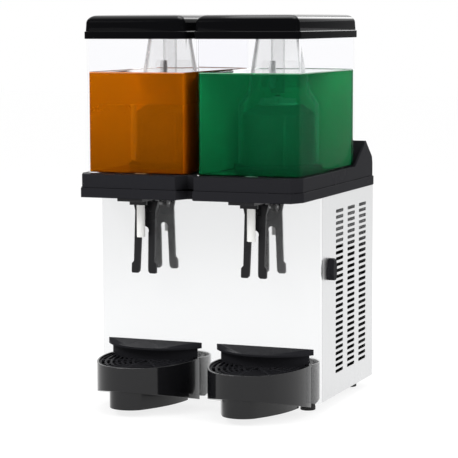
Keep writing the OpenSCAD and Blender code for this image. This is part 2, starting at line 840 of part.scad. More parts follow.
module drip_bowl(side) {
    color("black") tray_at(side) difference() {
        union() {
            intersection() {
                linear_extrude(tray_rim) half_oval(tray_half, reach, tray_nose, tray_belly);
                above_floor(floor_back, floor_front, reach);
            }
            intersection() {
                linear_extrude(floor_front) half_oval(sump_half, reach - sump_set, sump_nose);
                above_floor(sump_back, sump_front, reach);
            }
        }
        intersection() {
            linear_extrude(far) bowl_area(tray_wall, tray_wall);
            above_floor(floor_back + tray_wall, floor_front + tray_wall, reach);
        }
        intersection() {
            linear_extrude(far) translate([0, -tray_wall])
                half_oval(sump_half - tray_wall, reach - sump_set - 2 * tray_wall, sump_nose - tray_wall);
            above_floor(sump_back + tray_wall, sump_front + tray_wall, reach);
        }
    }
    color("black") tray_at(side) translate([0, 0, grille_z - free - ledge_h]) linear_extrude(ledge_h)
        difference() {
            bowl_area(tray_wall - eps, tray_wall);
            translate([0, eps]) bowl_area(tray_wall + ledge_w, tray_wall);
        }
}

// The bowl's outline drawn in by inset, and cut off at a distance back in front of the panel
module bowl_area(inset, back) {
    translate([0, -back])
        half_oval(tray_half - inset, reach - inset - back, tray_nose - inset, tray_belly - back);
}

module grille_area(inset) {
    gap = tray_wall + free;
    bowl_area(gap + inset, gap);
}

// Rings that the nose has room for
rings_fit = floor((tray_nose - tray_wall - free - ring_w - 1) / ring_pitch) + 1;

// Foot of the rest's upright wall, grown by a margin
module rest_foot_area(margin) {
    bow(tray_half - 4 + margin, rest_foot + margin);
}

module drip_grille(side) {
    color("black") tray_at(side) translate([0, 0, grille_z]) linear_extrude(grille_t) difference() {
        union() {
            for (k = [0 : min(ring_count, rings_fit) - 1]) difference() {
                grille_area(k * ring_pitch);
                translate([0, eps]) grille_area(k * ring_pitch + ring_w);
            }
            intersection() {
                grille_area(0);
                translate([0, -rest_foot - ring_w / 2]) for (a = [-65, -35, 0, 35, 65]) rotate(a)
                    translate([-ring_w / 2, -far]) square([ring_w, far]);
            }
            intersection() {
                grille_area(0);
                rest_foot_area(ring_w + free);
            }
        }
        rest_foot_area(free);
    }
}

rest_top = tray_rim + rest_h;
rest_low = rest_top - rest_fall - rest_t;

// Crescent cap of the rest: a bowed lip under a top that slopes back up to a level crest
module rest_cap(inset, drop) {
    hull($fn = 96) {
        translate([0, 0, rest_low - drop]) linear_extrude(rest_t) bow(rest_half - inset, rest_out - inset);
        translate([0, 0, rest_top - drop - eps]) linear_extrude(eps) polygon([
            [inset - rest_half, 0], [rest_half - inset, 0],
            [rest_half - inset - 12, -rest_crest], [inset + 12 - rest_half, -rest_crest]
        ]);
    }
}

module drip_rest(side) {
    foot_wall = 3;
    color("black") tray_at(side) {
        difference() {
            translate([0, 0, grille_z]) linear_extrude(rest_low + rest_t - grille_z) difference() {
                rest_foot_area(0);
                translate([0, eps]) bow(tray_half - 4 - foot_wall, rest_foot - foot_wall + eps);
            }
            translate([-far / 2, -tray_wall - 2, 0]) cube([far, far, tray_rim + free]);
            difference() {
                translate([-far / 2, -far / 2, 0]) cube([far, far, tray_rim + free]);
                linear_extrude(far) grille_area(free);
            }
        }
        difference() {
            rest_cap(0, 0);
            rest_cap(rest_t, rest_t);
        }
    }
}

// Knob and thermostat

module knob() {
    draft = 14;
    tip = pointer_t / 2;
    waist = knob_d / 2 - 2;
    color("black") translate([side_x + knob_shoulder, knob_y, knob_z]) {
        rotate([0, 90, 0]) cylinder(d1 = knob_d, d2 = knob_d - 3, h = knob_base_t);
        difference() {
            rotate([90, 0, 90]) linear_extrude(knob_base_t + knob_reach) polygon([
                [-tip, pointer_up], [tip, pointer_up], [waist, 0], [tip, -pointer_down],
                [-tip, -pointer_down], [-waist, 0]
            ]);
            for (s = [-1, 1]) translate([0, s * waist, 0]) rotate([0, 0, -s * draft])
                translate([-far / 2, s > 0 ? 0 : -far, -far / 2]) cube([far, far, far]);
            translate([knob_base_t + knob_reach, 0, pointer_up]) rotate([0, 40, 0])
                translate([-far / 2, -far / 2, -2]) cube([far, far, far]);
        }
        translate([-spindle_in, 0, 0]) rotate([0, 90, 0]) cylinder(d = spindle_d, h = spindle_in + 1);
    }
}

module thermostat() {
    box_d = 30;
    face = side_x - sheet;
    color("dimgray") difference() {
        translate([face - box_d, knob_y, knob_z]) {
            rotate([90, 0, 90]) linear_extrude(box_d - 6) round_rect(36, 44, 3);
            translate([box_d - 6 - eps, 0, 0]) rotate([0, 90, 0]) cylinder(d = 18, h = 6 + eps);
        }
        translate([side_x + knob_shoulder - spindle_in - free, knob_y, knob_z]) rotate([0, 90, 0])
            cylinder(d = spindle_d + 2 * run, h = spindle_in + 1);
    }
}

// Cooling unit in the cabinet

comp_y = body_d / 2 + 20;
mount_h = 12;
mount_x = 60;
mount_y = 40;

module compressor() {
    foot_t = 3;
    dome = 26;
    r = comp_d / 2;
    z0 = pan_top + mount_h;
    color("black") translate([-comp_x, comp_y, z0]) {
        linear_extrude(foot_t) round_rect(2 * mount_x + 26, 2 * mount_y + 26, 10);
        rotate_extrude() polygon([
            [0, foot_t - eps], [r - 14, foot_t - eps], [r, dome], [r, comp_h - dome],
            [r - 6, comp_h - dome / 2], [r - 22, comp_h], [0, comp_h]
        ]);
        translate([r - 4, 0, comp_h / 2]) rotate([0, 90, 0]) cylinder(d = 9, h = 16);
        translate([r - 4, 16, comp_h / 2 + 24]) rotate([0, 90, 0]) cylinder(d = 7, h = 14);
    }
}

module compressor_mounts() {
    color("dimgray") for (sx = [-1, 1], sy = [-1, 1])
        translate([-comp_x + sx * mount_x, comp_y + sy * mount_y, pan_top]) {
            cylinder(d = 20, h = 5);
            cylinder(d = 15, h = mount_h);
        }
}

cond_x = side_x - sheet - cond_gap - cond_t;
cond_y = slot_first - slot_len / 2;
fan_y = cond_y + cond_w / 2;
fan_z = pan_top + cond_h / 2;
shroud_t = 2;
ring_len = 22;
ring_clear = 4;
ring_t = 2;
ring_x = cond_x - shroud_t - ring_len;

module condenser() {
    fin_t = 0.8;
    tube_d = 9;
    step = cond_w / (fin_count + 1);
    color("silver") {
        for (k = [0, fin_count + 1]) translate([cond_x, cond_y + k * step - (k > 0 ? 2 : 0), pan_top])
            cube([cond_t, 2, cond_h]);
        for (k = [1 : fin_count]) translate([cond_x + 2, cond_y + k * step, pan_top + 6])
            cube([cond_t - 4, fin_t, cond_h - 12]);
        for (x = [0.3, 0.7], z = [0.15, 0.38, 0.62, 0.85])
            translate([cond_x + x * cond_t, cond_y - 4, pan_top + z * cond_h]) rotate([-90, 0, 0])
                cylinder(d = tube_d, h = cond_w + 8);
    }
}

module fan_shroud() {
    inner_d = fan_d + 2 * ring_clear;
    color("dimgray") difference() {
        union() {
            translate([cond_x - shroud_t, cond_y, pan_top]) cube([shroud_t, cond_w, cond_h]);
            translate([ring_x, fan_y, fan_z]) rotate([0, 90, 0])
                cylinder(d = inner_d + 2 * ring_t, h = ring_len + eps);
        }
        translate([ring_x - eps, fan_y, fan_z]) rotate([0, 90, 0]) cylinder(d = inner_d, h = far);
    }
}

motor_len = 34;
fan_motor_d = 52;

module fan_motor() {
    arm = 8;
    ring_r = fan_d / 2 + ring_clear + ring_t;
    color("gray") translate([ring_x, fan_y, fan_z]) difference() {
        union() {
            translate([-motor_len, 0, 0]) rotate([0, 90, 0]) cylinder(d = fan_motor_d, h = motor_len);
            for (k = [0 : 2]) rotate([k * 120 + 90, 0, 0]) translate([-6, -arm / 2, 0])
                cube([6, arm, ring_r - 1]);
        }
        translate([-motor_len + 8 - free, 0, 0]) rotate([0, 90, 0]) cylinder(d = 6 + 2 * run, h = motor_len);
    }
}

module fan_rotor() {
    hub_r = 19;
    blade_w = 30;
    pitch = 32;
    color("black") translate([ring_x, fan_y, fan_z]) {
        translate([1, 0, 0]) rotate([0, 90, 0]) cylinder(r = hub_r, h = 18);
        for (k = [0 : fan_blades - 1]) rotate([k * 360 / fan_blades, 0, 0]) intersection() {
            translate([10, 0, hub_r - 3]) rotate([0, 0, 90 - pitch])
                translate([-blade_w / 2, -1, 0]) cube([blade_w, 2, fan_d / 2]);
            rotate([0, 90, 0]) cylinder(d = fan_d, h = ring_len);
        }
        translate([-motor_len + 8, 0, 0]) rotate([0, 90, 0]) cylinder(d = 6, h = motor_len);
    }
}

place() base_pan();
place() front_panel();
place() side_panel_left();
place() side_panel_right();
place() back_panel();
place() deck_base();
place() deck_tray();
place() feet();
place() cord_gland();
place() tank(-1);  // tank_left
place() tank(1);  // tank_right
place() tank_floor(-1);  // tank_floor_left
place() tank_floor(1);  // tank_floor_right
place() tank_collar(-1);  // tank_collar_left
place() tank_collar(1);  // tank_collar_right
place() lid(-1);  // lid_left
place() lid(1);  // lid_right
place() spout(-1);  // spout_left
place() spout(1);  // spout_right
place() evaporator(-1);  // evaporator_left
place() evaporator(1);  // evaporator_right
place() tank_seal(-1);  // tank_seal_left
place() tank_seal(1);  // tank_seal_right
place() mixer_hood(-1);  // mixer_hood_left
place() mixer_hood(1);  // mixer_hood_right
place() impeller(-1);  // impeller_left
place() impeller(1);  // impeller_right
place() stirrer_motor(-1);  // stirrer_motor_left
place() stirrer_motor(1);  // stirrer_motor_right
place() drive_rotor(-1);  // drive_rotor_left
place() drive_rotor(1);  // drive_rotor_right
place() tap_plate(-1);  // tap_plate_left
place() tap_plate(1);  // tap_plate_right
place() tap_bracket(-1);  // tap_bracket_left
place() tap_bracket(1);  // tap_bracket_right
place() lever_pin(-1);  // lever_pin_left
place() lever_pin(1);  // lever_pin_right
place() lever_spring(-1);  // lever_spring_left
place() lever_spring(1);  // lever_spring_right
place() lever(-1);  // lever_left
place() lever(1);  // lever_right
place() drip_bowl(-1);  // drip_bowl_left
place() drip_bowl(1);  // drip_bowl_right
place() drip_grille(-1);  // drip_grille_left
place() drip_grille(1);  // drip_grille_right
place() drip_rest(-1);  // drip_rest_left
place() drip_rest(1);  // drip_rest_right
place() knob();
place() thermostat();
place() compressor();
place() compressor_mounts();
place() condenser();
place() fan_shroud();
place() fan_motor();
place() fan_rotor();
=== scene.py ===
"""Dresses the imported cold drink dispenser: rounded mouldings, steel, clear tanks, drinks and a studio."""
import json
import math

import bmesh
import bpy
from bpy.props import FloatProperty, FloatVectorProperty, IntProperty, PointerProperty
from mathutils import Matrix, Vector


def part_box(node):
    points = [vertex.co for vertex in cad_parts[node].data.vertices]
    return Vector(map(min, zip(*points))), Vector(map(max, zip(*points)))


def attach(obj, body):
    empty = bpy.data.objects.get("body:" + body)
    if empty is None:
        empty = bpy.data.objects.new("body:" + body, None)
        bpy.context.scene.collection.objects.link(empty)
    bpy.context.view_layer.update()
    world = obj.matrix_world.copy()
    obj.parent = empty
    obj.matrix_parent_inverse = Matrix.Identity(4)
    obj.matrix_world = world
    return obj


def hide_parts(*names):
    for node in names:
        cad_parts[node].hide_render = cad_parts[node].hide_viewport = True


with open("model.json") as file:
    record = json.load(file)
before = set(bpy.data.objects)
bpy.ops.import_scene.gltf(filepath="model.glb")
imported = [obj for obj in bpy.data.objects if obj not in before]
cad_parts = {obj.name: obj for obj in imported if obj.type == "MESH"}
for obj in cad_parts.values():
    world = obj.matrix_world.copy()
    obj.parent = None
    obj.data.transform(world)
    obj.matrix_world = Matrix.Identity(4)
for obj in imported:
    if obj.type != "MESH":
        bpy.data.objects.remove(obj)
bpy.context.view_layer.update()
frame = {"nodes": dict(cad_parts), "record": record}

bl_info = {
    "name": "Cold drink dispenser",
    "version": (1, 0, 0),
    "blender": (4, 5, 0),
    "location": "View3D > Sidebar > Dispenser",
    "description": "Builds the looks of a cold drink dispenser around its packed solids",
    "category": "Object",
}

SIDES = ("left", "right")
MM = 0.001
# A tank's floor is drawn thinner than its solid, so that the drink shows right down to the deck
FLOOR = 0.8 * MM
TANK_WALL = 3 * MM
TANK_CORNER = 9 * MM
# Most of a noise's values lie between these two
NOISE_LOW, NOISE_HIGH = 0.3, 0.7
# Depth of the finest texture on steel and plastic
SKIN_DEPTH = 0.2 * MM


# Values that a user would change

class DispenserSizes(bpy.types.PropertyGroup):
    """Sizes of what is added to the solids"""
    drink_level: FloatProperty(
        name="Drink level", description="Height of the drink above the table", default=0.5306, unit="LENGTH")
    drink_gap: FloatProperty(
        name="Drink gap", description="Gap between drink and tank wall", default=0.0003, unit="LENGTH")
    lid_crown: FloatProperty(
        name="Lid crown", description="Rise of the lid's top towards its middle",
        default=0.0012, unit="LENGTH")
    lid_edge: FloatProperty(
        name="Lid edge", description="Radius along the lid's upper edges", default=0.014, unit="LENGTH")
    screw_head: FloatProperty(
        name="Screw head", description="Radius of the rear panel's screw heads",
        default=0.0038, unit="LENGTH")
    screw_rows: IntProperty(
        name="Screw rows", description="Screws along each upright edge of the rear panel", default=4, min=2)


class DispenserColours(bpy.types.PropertyGroup):
    """Colours of the finishes"""
    black: FloatVectorProperty(
        name="Black", description="Moulded black plastic", subtype="COLOR", size=3,
        default=(0.0065, 0.0065, 0.0075))
    steel: FloatVectorProperty(
        name="Steel", description="Steel panels", subtype="COLOR", size=3, default=(0.83, 0.835, 0.84))
    orange: FloatVectorProperty(
        name="Left drink", description="Colour of the left drink", subtype="COLOR", size=3,
        default=(0.46, 0.118, 0.001))
    green: FloatVectorProperty(
        name="Right drink", description="Colour of the right drink", subtype="COLOR", size=3,
        default=(0.010, 0.205, 0.072))


def sizes():
    return bpy.context.scene.dispenser_sizes


def colours():
    return bpy.context.scene.dispenser_colours


# Shader nodes that several finishes share

def arithmetic(nodes, link, operation, *values):
    """The result of a math node on sockets or plain numbers"""
    node = nodes.new("ShaderNodeMath")
    node.operation = operation
    for value, sock in zip(values, node.inputs):
        if isinstance(value, (int, float)):
            sock.default_value = value
        else:
            link.new(value, sock)
    return node.outputs[0]


def ramp(nodes, link, source, start, stop, low=0.0, high=1.0):
    """Takes source from start and stop to low and high, and holds it beyond them"""
    node = nodes.new("ShaderNodeMapRange")
    for label, value in (("From Min", start), ("From Max", stop), ("To Min", low), ("To Max", high)):
        node.inputs[label].default_value = value
    link.new(source, node.inputs["Value"])
    return node.outputs[0]


def noise_ramp(nodes, link, source, low, high):
    return ramp(nodes, link, source, NOISE_LOW, NOISE_HIGH, low, high)


def upward(nodes, link):
    """How far a face looks up: the height of its normal"""
    geo = nodes.new("ShaderNodeNewGeometry")
    split = nodes.new("ShaderNodeSeparateXYZ")
    link.new(geo.outputs["Normal"], split.inputs[0])
    return split.outputs["Z"]


def height_of(nodes, link, coord):
    split = nodes.new("ShaderNodeSeparateXYZ")
    link.new(coord.outputs["Object"], split.inputs[0])
    return split.outputs["Z"]


def mix_shaders(nodes, link, share, first, second, out):
    """Gives out the first shader, and the second by its share"""
    mix = nodes.new("ShaderNodeMixShader")
    for source, sock in zip((share, first, second), mix.inputs):
        link.new(source, sock)
    link.new(mix.outputs[0], out.inputs["Surface"])


def new_group(name, ins, outs):
    tree = bpy.data.node_groups.new(name, "ShaderNodeTree")
    for label, kind, value in ins:
        sock = tree.interface.new_socket(label, in_out="INPUT", socket_type=kind)
        if value is not None:
            sock.default_value = value
    for label, kind in outs:
        tree.interface.new_socket(label, in_out="OUTPUT", socket_type=kind)
    return tree, tree.nodes.new("NodeGroupInput"), tree.nodes.new("NodeGroupOutput")


def grain_group():
    """Stretched noise for rolled steel and moulded skins, with a slow cloud over it"""
    if "surface_grain" in bpy.data.node_groups:
        return bpy.data.node_groups["surface_grain"]
    tree, gin, gout = new_group(
        "surface_grain",
        (("Vector", "NodeSocketVector", None), ("Stretch", "NodeSocketVector", (1, 1, 1)),
         ("Scale", "NodeSocketFloat", 300.0), ("Cloud Scale", "NodeSocketFloat", 8.0)),
        (("Fine", "NodeSocketFloat"), ("Cloud", "NodeSocketFloat"), ("Mix", "NodeSocketFloat")))
    n, link = tree.nodes, tree.links
    stretch = n.new("ShaderNodeVectorMath")
    stretch.operation = "MULTIPLY"
    link.new(gin.outputs["Vector"], stretch.inputs[0])
    link.new(gin.outputs["Stretch"], stretch.inputs[1])
    fine = n.new("ShaderNodeTexNoise")
    fine.inputs["Detail"].default_value = 3.0
    link.new(stretch.outputs[0], fine.inputs["Vector"])
    link.new(gin.outputs["Scale"], fine.inputs["Scale"])
    cloud = n.new("ShaderNodeTexNoise")
    cloud.inputs["Detail"].default_value = 2.0
    link.new(gin.outputs["Vector"], cloud.inputs["Vector"])
    link.new(gin.outputs["Cloud Scale"], cloud.inputs["Scale"])
    both = arithmetic(n, link, "MULTIPLY", fine.outputs["Fac"], cloud.outputs["Fac"])
    link.new(fine.outputs["Fac"], gout.inputs["Fine"])
    link.new(cloud.outputs["Fac"], gout.inputs["Cloud"])
    link.new(both, gout.inputs["Mix"])
    return tree


def dust_group():
    """Dust that settles on faces that look up"""
    if "settled_dust" in bpy.data.node_groups:
        return bpy.data.node_groups["settled_dust"]
    tree, gin, gout = new_group(
        "settled_dust",
        (("Vector", "NodeSocketVector", None), ("Amount", "NodeSocketFloat", 0.1),
         ("Scale", "NodeSocketFloat", 60.0)),
        (("Mask", "NodeSocketFloat"),))
    n, link = tree.nodes, tree.links
    up = ramp(n, link, upward(n, link), 0.75, 1.0)
    noise = n.new("ShaderNodeTexNoise")
    noise.inputs["Detail"].default_value = 5.0
    link.new(gin.outputs["Vector"], noise.inputs["Vector"])
    link.new(gin.outputs["Scale"], noise.inputs["Scale"])
    spots = ramp(n, link, noise.outputs["Fac"], 0.45, 0.75)
    lay = arithmetic(n, link, "MULTIPLY", up, spots)
    link.new(arithmetic(n, link, "MULTIPLY", lay, gin.outputs["Amount"]), gout.inputs["Mask"])
    return tree


# Finishes

def blank_material(name):
    mat = bpy.data.materials.new(name)
    mat.use_nodes = True
    nodes = mat.node_tree.nodes
    return mat, nodes, mat.node_tree.links, nodes["Principled BSDF"]


def grain_node(nodes, link, stretch, scale, cloud):
    coord = nodes.new("ShaderNodeTexCoord")
    group = nodes.new("ShaderNodeGroup")
    group.node_tree = grain_group()
    link.new(coord.outputs["Object"], group.inputs["Vector"])
    group.inputs["Stretch"].default_value = stretch
    group.inputs["Scale"].default_value = scale
    group.inputs["Cloud Scale"].default_value = cloud
    return coord, group


def bump(nodes, link, height, strength, shader):
    node = nodes.new("ShaderNodeBump")
    node.inputs["Strength"].default_value = strength
    node.inputs["Distance"].default_value = SKIN_DEPTH
    link.new(height, node.inputs["Height"])
    link.new(node.outputs[0], shader.inputs["Normal"])
    return node


def tint(nodes, link, mask, first, second, socket):
    node = nodes.new("ShaderNodeMix")
    node.data_type = "RGBA"
    node.inputs[6].default_value = (*first, 1)
    node.inputs[7].default_value = (*second, 1)
    link.new(mask, node.inputs[0])
    link.new(node.outputs[2], socket)


def shade(colour, k):
    return tuple(min(1.0, c * k) for c in colour)


def steel_material(name, colour, rough, stretch, scale, lines, metal=1.0, bow=0.0):
    """Rolled or polished steel: streaks along the rolling direction and a slow cloud in colour and gloss"""
    mat, nodes, link, shader = blank_material(name)
    _, grain = grain_node(nodes, link, stretch, scale, 5.0)
    shader.inputs["Metallic"].default_value = metal
    cloud = noise_ramp(nodes, link, grain.outputs["Mix"], 0, 1)
    tint(nodes, link, cloud, shade(colour, 0.97), shade(colour, 1.02), shader.inputs["Base Color"])
    gloss = noise_ramp(nodes, link, grain.outputs["Fine"], rough * 0.8, rough * 1.2)
    link.new(gloss, shader.inputs["Roughness"])
    skin = bump(nodes, link, grain.outputs["Fine"], lines, shader)
    if bow:
        bow_sheet(nodes, link, bow, skin)
    return mat


def bow_sheet(nodes, link, bow, skin):
    """Leans a sheet's reflections as a slight bow towards its foot does"""
    straight_from = 0.33
    coord = nodes.new("ShaderNodeTexCoord")
    down = arithmetic(nodes, link, "SUBTRACT", height_of(nodes, link, coord), straight_from)
    lean = nodes.new("ShaderNodeBump")
    lean.inputs["Distance"].default_value = bow
    link.new(arithmetic(nodes, link, "MULTIPLY", down, down), lean.inputs["Height"])
    link.new(lean.outputs[0], skin.inputs["Normal"])


def plastic_material(name, colour, rough, specular, dust=0.05, skin=0.03, top_sheen=0.0):
    """Moulded plastic: a faint skin texture, uneven gloss, a little settled dust and, if asked, a painted
    highlight on faces that look up
    """
    mat, nodes, link, shader = blank_material(name)
    coord, grain = grain_node(nodes, link, (1, 1, 1), 900.0, 14.0)
    settle = nodes.new("ShaderNodeGroup")
    settle.node_tree = dust_group()
    link.new(coord.outputs["Object"], settle.inputs["Vector"])
    settle.inputs["Amount"].default_value = dust
    shader.inputs["Specular IOR Level"].default_value = specular
    # Painted highlight: faces that look up reflect more strongly than the flanks, so the tops catch the lamps
    # while the sides stay dark
    if top_sheen:
        top_sheen_level = ramp(nodes, link, upward(nodes, link), 0.55, 0.95, specular, top_sheen)
        link.new(top_sheen_level, shader.inputs["Specular IOR Level"])
    dusty = tuple(0.5 * c + 0.12 for c in colour)
    tint(nodes, link, settle.outputs["Mask"], colour, dusty, shader.inputs["Base Color"])
    gloss = noise_ramp(nodes, link, grain.outputs["Cloud"], rough * 0.85, rough * 1.2)
    link.new(gloss, shader.inputs["Roughness"])
    bump(nodes, link, grain.outputs["Fine"], skin, shader)
    return mat


def lets_lamps_through(mat, shader, colour):
    """Clear pieces cast only a tinted shadow"""
    nodes, link = mat.node_tree.nodes, mat.node_tree.links
    path = nodes.new("ShaderNodeLightPath")
    clear = nodes.new("ShaderNodeBsdfTransparent")
    clear.inputs["Color"].default_value = (*colour, 1)
    out = nodes["Material Output"]
    mix_shaders(nodes, link, path.outputs["Is Shadow Ray"], shader.outputs[0], clear.outputs[0], out)


def clear_material(name, colour, rough, ior):
    """Clear moulded plastic with darker edges and a faint cloud in its gloss"""
    mat, nodes, link, shader = blank_material(name)
    _, grain = grain_node(nodes, link, (1, 1, 1), 400.0, 9.0)
    facing = nodes.new("ShaderNodeLayerWeight")
    edge = ramp(nodes, link, facing.outputs["Facing"], 0.75, 1.0)
    tint(nodes, link, edge, colour, shade(colour, 0.5), shader.inputs["Base Color"])
    shader.inputs["Transmission Weight"].default_value = 1.0
    shader.inputs["IOR"].default_value = ior
    gloss = noise_ramp(nodes, link, grain.outputs["Cloud"], rough, rough + 0.02)
    link.new(gloss, shader.inputs["Roughness"])
    lets_lamps_through(mat, shader, shade(colour, 0.97))
    return mat


def veil_material(name, colour, rough, face_on, edge_on):
    """Thin clear moulding: nearly unseen face on, and pale where its wall is looked along"""
    mat, nodes, link, shader = blank_material(name)
    _, grain = grain_node(nodes, link, (1, 1, 0.2), 300.0, 12.0)
    cloud = noise_ramp(nodes, link, grain.outputs["Cloud"], 0, 1)
    tint(nodes, link, cloud, shade(colour, 0.92), colour, shader.inputs["Base Color"])
    gloss = noise_ramp(nodes, link, grain.outputs["Fine"], rough, rough * 1.5)
    link.new(gloss, shader.inputs["Roughness"])
    facing = nodes.new("ShaderNodeLayerWeight")
    facing.inputs["Blend"].default_value = 0.28
    wall = ramp(nodes, link, facing.outputs["Facing"], 0.3, 0.75, face_on, edge_on)
    link.new(wall, shader.inputs["Alpha"])
    return mat


def colour_darker_below(nodes, link, colour, low, high, socket):
    """A drink's colour, darker towards the tank's floor and slightly uneven"""
    coord, grain = grain_node(nodes, link, (1, 1, 0.6), 500.0, 16.0)
    pulp = nodes.new("ShaderNodeMix")
    pulp.data_type = "RGBA"
    pulp.blend_type = "MULTIPLY"
    pulp.inputs[0].default_value = 1.0
    # Darker towards the bottom, from the height low up to the height high
    level = ramp(nodes, link, height_of(nodes, link, coord), low, high)
    tint(nodes, link, level, shade(colour, 0.66), shade(colour, 1.04), pulp.inputs[6])
    link.new(noise_ramp(nodes, link, grain.outputs["Mix"], 0.9, 1.06), pulp.inputs[7])
    link.new(pulp.outputs[2], socket)
    return grain


def drink_material(name, colour, clear, low, high):
    """A drink with pulp in it, partly clear"""
    mat, nodes, link, shader = blank_material(name)
    grain = colour_darker_below(nodes, link, colour, low, high, shader.inputs["Base Color"])
    shader.inputs["Transmission Weight"].default_value = clear
    shader.inputs["IOR"].default_value = 1.01
    shader.inputs["Specular IOR Level"].default_value = 0.0
    link.new(noise_ramp(nodes, link, grain.outputs["Cloud"], 0.02, 0.06), shader.inputs["Roughness"])
    lets_lamps_through(mat, shader, tuple(0.35 + 0.65 * math.sqrt(c) for c in colour))
    return mat


def pulp_material(name, colour, low, high):
    """The depth of a drink that sight doesn't reach through, pale because it is seen through the drink, and
    brightened as painted light because little light reaches it
    """
    mat, nodes, link, shader = blank_material(name)
    # The square root is the drink's tint in front of the depth; dividing by 0.45 is painted light, making up
    # for the dim light inside the drink
    pale = tuple(math.sqrt(c) / 0.45 for c in colour)
    grain = colour_darker_below(nodes, link, pale, low, high, shader.inputs["Base Color"])
    shader.inputs["Specular IOR Level"].default_value = 0.0
    link.new(noise_ramp(nodes, link, grain.outputs["Cloud"], 0.8, 1.0), shader.inputs["Roughness"])
    return mat


def surface_material(name, colour):
    """A drink's surface: a mirror to flat looks, the drink's colour from above"""
    mat, nodes, link, shader = blank_material(name)
    _, grain = grain_node(nodes, link, (1, 1, 1), 200.0, 10.0)
    shader.inputs["Base Color"].default_value = (*colour, 1)
    shader.inputs["IOR"].default_value = 1.6
    shader.inputs["Specular IOR Level"].default_value = 1.0
    shader.inputs["Coat Weight"].default_value = 1.0
    shader.inputs["Coat IOR"].default_value = 1.8
    link.new(noise_ramp(nodes, link, grain.outputs["Cloud"], 0.01, 0.03), shader.inputs["Roughness"])
    return mat


def recipes():
    """Each finish's maker and what the maker is given"""
    c = colours()
    black, steel = tuple(c.black), tuple(c.steel)
    low, high = drink_span()
    made = {
        "front_steel": (steel_material, dict(
            colour=shade(steel, 1.03), rough=0.06, stretch=(1, 1, 0.02), scale=500.0, lines=0.02, metal=0.9,
            bow=0.1)),
        "side_steel": (steel_material, dict(
            colour=shade(steel, 0.9), rough=0.34, stretch=(1, 1, 0.03), scale=700.0, lines=0.08)),
        "pan_steel": (steel_material, dict(
            colour=shade(steel, 0.7), rough=0.45, stretch=(1, 0.05, 1), scale=400.0, lines=0.1)),
        "evaporator_steel": (steel_material, dict(
            colour=(0.07, 0.07, 0.07), rough=0.45, stretch=(1, 1, 0.05), scale=300.0, lines=0.05, metal=0.6)),
        "pin_steel": (steel_material, dict(
            colour=(0.62, 0.62, 0.62), rough=0.2, stretch=(0.05, 1, 1), scale=900.0, lines=0.03)),
        # The lid's top sheen is a painted highlight on its upper edges and top
        "lid_black": (plastic_material, dict(
            colour=shade(black, 0.5), rough=0.08, specular=0.004, top_sheen=0.5)),
        "black_gloss": (plastic_material, dict(colour=shade(black, 2.6), rough=0.25, specular=0.004)),
        "tray_black": (plastic_material, dict(colour=shade(black, 0.9), rough=0.12, specular=0.35)),
        "black_tap": (plastic_material, dict(colour=shade(black, 1.3), rough=0.3, specular=0.2)),
        "white_plastic": (plastic_material, dict(
            colour=(0.80, 0.80, 0.78), rough=0.35, specular=0.4, dust=0.02)),
        "seal_rubber": (plastic_material, dict(
            colour=(0.04, 0.04, 0.042), rough=0.7, specular=0.3, dust=0.02, skin=0.1)),
        "foot_rubber": (plastic_material, dict(
            colour=(0.02, 0.02, 0.02), rough=0.65, specular=0.3, dust=0.05, skin=0.1)),
        "motor_paint": (plastic_material, dict(
            colour=(0.1, 0.1, 0.105), rough=0.45, specular=0.4, dust=0.1, skin=0.08)),
        "compressor_paint": (plastic_material, dict(
            colour=(0.015, 0.015, 0.015), rough=0.35, specular=0.4, dust=0.12, skin=0.06)),
        "clear_tank": (clear_material, dict(colour=(0.985, 0.985, 0.995), rough=0.0, ior=1.025)),
        "clear_hood": (veil_material, dict(colour=(0.98, 0.985, 1.0), rough=0.12, face_on=0.05, edge_on=1.0)),
    }
    for drink, colour, clear in (("orange", tuple(c.orange), 0.6), ("green", tuple(c.green), 0.75)):
        made[f"{drink}_drink"] = (drink_material, dict(colour=colour, clear=clear, low=low, high=high))
        made[f"{drink}_surface"] = (surface_material, dict(colour=colour))
        made[f"{drink}_pulp"] = (pulp_material, dict(colour=colour, low=low, high=high))
    return made


FINISHES = {}


def finish(name):
    """The named finish, made the first time that a piece asks for it"""
    if name not in FINISHES:
        maker, values = recipes()[name]
        FINISHES[name] = maker(name, **values)
    return FINISHES[name]


def drink_span():
    """Heights of the tanks' floor and of the drink's surface"""
    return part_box("tank_left")[0].z, sizes().drink_level


SLOT_OF = {s["node"]: s["material_slot"] for s in frame["record"]["subparts"]}
BODY_OF = {n: b for b, names in frame["record"]["behaviour"]["bodies"].items() for n in names}


# Mesh helpers

def new_piece(name, mesh, body, slot, material=None, replaces=()):
    obj = bpy.data.objects.new(name, mesh)
    bpy.context.scene.collection.objects.link(obj)
    mesh.materials.clear()
    mesh.materials.append(material or finish(slot))
    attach(obj, body)
    if replaces:
        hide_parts(*replaces)
    return obj


def smooth_by_angle(mesh, angle=40.0):
    """Smooth shading, with edges sharper than angle kept hard"""
    bm = bmesh.new()
    bm.from_mesh(mesh)
    limit = math.radians(angle)
    for face in bm.faces:
        face.smooth = True
    for edge in bm.edges:
        edge.smooth = len(edge.link_faces) == 2 and edge.calc_face_angle(0.0) < limit
    bm.to_mesh(mesh)
    bm.free()


def baked(obj):
    """The object's mesh with its modifiers applied"""
    bpy.context.view_layer.update()
    made = bpy.data.meshes.new_from_object(obj.evaluated_get(bpy.context.evaluated_depsgraph_get()))
    obj.modifiers.clear()
    return made


def merged_copy(node):
    """A node's mesh with its loose triangles joined and its flat faces made whole"""
    bm = bmesh.new()
    bm.from_mesh(frame["nodes"][node].data)
    bmesh.ops.remove_doubles(bm, verts=bm.verts, dist=2e-6)
    bmesh.ops.dissolve_limit(
        bm, angle_limit=math.radians(0.4), use_dissolve_boundaries=False, verts=bm.verts, edges=bm.edges)
    mesh = bpy.data.meshes.new(f"{node}_shape")
    bm.to_mesh(mesh)
    bm.free()
    return mesh


